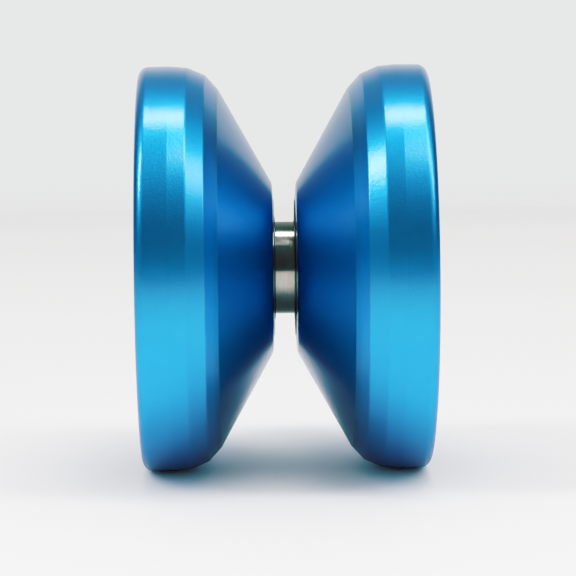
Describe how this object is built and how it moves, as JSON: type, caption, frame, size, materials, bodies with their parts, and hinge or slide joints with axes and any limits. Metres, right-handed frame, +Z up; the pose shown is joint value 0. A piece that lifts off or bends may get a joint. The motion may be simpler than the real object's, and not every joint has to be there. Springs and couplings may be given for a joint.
{
  "type": "yo-yo",
  "caption": "Butterfly-shaped yo-yo: turned aluminium halves screwed together on a threaded stud, with a free-spinning ball bearing in the string gap and silicone response rings.",
  "frame": {"origin": "middle of the string gap, on the spin axis", "axes": "+X along the axle towards the right half, +Z up, +Y away from the viewer"},
  "size_m": [0.0396, 0.0558, 0.0558],
  "materials": {
    "anodised_aluminium": "blue anodised, bead blasted satin",
    "silicone": "matt moulded",
    "screw_steel": "plain zinc plated",
    "bearing_steel": "ground",
    "ball_steel": "polished",
    "shield_steel": "pressed",
    "spring_steel": "drawn wire",
    "cage_steel": "pressed"
  },
  "bodies": {
    "left_half": {"left_half": "anodised_aluminium", "left_response_pad": "silicone", "axle_screw": "screw_steel"},
    "inner_race": {"inner_race": "bearing_steel"},
    "right_half": {"right_half": "anodised_aluminium", "right_response_pad": "silicone"},
    "outer_race": {"outer_race": "bearing_steel", "left_shield": "shield_steel", "right_shield": "shield_steel", "left_snap_ring": "spring_steel", "right_snap_ring": "spring_steel"},
    "ball_cage": {"ball_cage": "cage_steel"},
    "ball_01": {"ball_01": "ball_steel"},
    "ball_02": {"ball_02": "ball_steel"},
    "ball_03": {"ball_03": "ball_steel"},
    "ball_04": {"ball_04": "ball_steel"},
    "ball_05": {"ball_05": "ball_steel"},
    "ball_06": {"ball_06": "ball_steel"},
    "ball_07": {"ball_07": "ball_steel"},
    "ball_08": {"ball_08": "ball_steel"},
    "ball_09": {"ball_09": "ball_steel"},
    "ball_10": {"ball_10": "ball_steel"}
  },
  "joints": [
    {"name": "half_draw", "type": "slide", "parent": "left_half", "child": "inner_race", "axis": [1, 0, 0], "range_m": [0, 0.00841]},
    {"name": "half_unscrew", "type": "hinge", "parent": "inner_race", "child": "right_half", "pos_m": [0.0119, 0, 0], "axis": [1, 0, 0], "range_deg": [0, 4320]},
    {"name": "outer_race_spin", "type": "hinge", "parent": "inner_race", "child": "outer_race", "pos_m": [0, 0, 0], "axis": [1, 0, 0], "continuous": true},
    {"name": "cage_spin", "type": "hinge", "parent": "inner_race", "child": "ball_cage", "pos_m": [0, 0, 0], "axis": [1, 0, 0], "continuous": true},
    {"name": "ball_01_roll", "type": "hinge", "parent": "ball_cage", "child": "ball_01", "pos_m": [0, 0.00476, 0], "axis": [1, 0, 0], "continuous": true},
    {"name": "ball_02_roll", "type": "hinge", "parent": "ball_cage", "child": "ball_02", "pos_m": [0, 0.00385, 0.0028], "axis": [1, 0, 0], "continuous": true},
    {"name": "ball_03_roll", "type": "hinge", "parent": "ball_cage", "child": "ball_03", "pos_m": [0, 0.00147, 0.00453], "axis": [1, 0, 0], "continuous": true},
    {"name": "ball_04_roll", "type": "hinge", "parent": "ball_cage", "child": "ball_04", "pos_m": [0, -0.00147, 0.00453], "axis": [1, 0, 0], "continuous": true},
    {"name": "ball_05_roll", "type": "hinge", "parent": "ball_cage", "child": "ball_05", "pos_m": [0, -0.00385, 0.0028], "axis": [1, 0, 0], "continuous": true},
    {"name": "ball_06_roll", "type": "hinge", "parent": "ball_cage", "child": "ball_06", "pos_m": [0, -0.00476, 0], "axis": [1, 0, 0], "continuous": true},
    {"name": "ball_07_roll", "type": "hinge", "parent": "ball_cage", "child": "ball_07", "pos_m": [0, -0.00385, -0.0028], "axis": [1, 0, 0], "continuous": true},
    {"name": "ball_08_roll", "type": "hinge", "parent": "ball_cage", "child": "ball_08", "pos_m": [0, -0.00147, -0.00453], "axis": [1, 0, 0], "continuous": true},
    {"name": "ball_09_roll", "type": "hinge", "parent": "ball_cage", "child": "ball_09", "pos_m": [0, 0.00147, -0.00453], "axis": [1, 0, 0], "continuous": true},
    {"name": "ball_10_roll", "type": "hinge", "parent": "ball_cage", "child": "ball_10", "pos_m": [0, 0.00385, -0.0028], "axis": [1, 0, 0], "continuous": true}
  ],
  "couplings": [
    {"joint": "half_draw", "follows": "half_unscrew", "m_per_rad": 0.00011141},
    {"joint": "cage_spin", "follows": "outer_race_spin", "ratio": 0.58333},
    {"joint": "ball_01_roll", "follows": "outer_race_spin", "ratio": 2.9167},
    {"joint": "ball_02_roll", "follows": "outer_race_spin", "ratio": 2.9167},
    {"joint": "ball_03_roll", "follows": "outer_race_spin", "ratio": 2.9167},
    {"joint": "ball_04_roll", "follows": "outer_race_spin", "ratio": 2.9167},
    {"joint": "ball_05_roll", "follows": "outer_race_spin", "ratio": 2.9167},
    {"joint": "ball_06_roll", "follows": "outer_race_spin", "ratio": 2.9167},
    {"joint": "ball_07_roll", "follows": "outer_race_spin", "ratio": 2.9167},
    {"joint": "ball_08_roll", "follows": "outer_race_spin", "ratio": 2.9167},
    {"joint": "ball_09_roll", "follows": "outer_race_spin", "ratio": 2.9167},
    {"joint": "ball_10_roll", "follows": "outer_race_spin", "ratio": 2.9167}
  ]
}
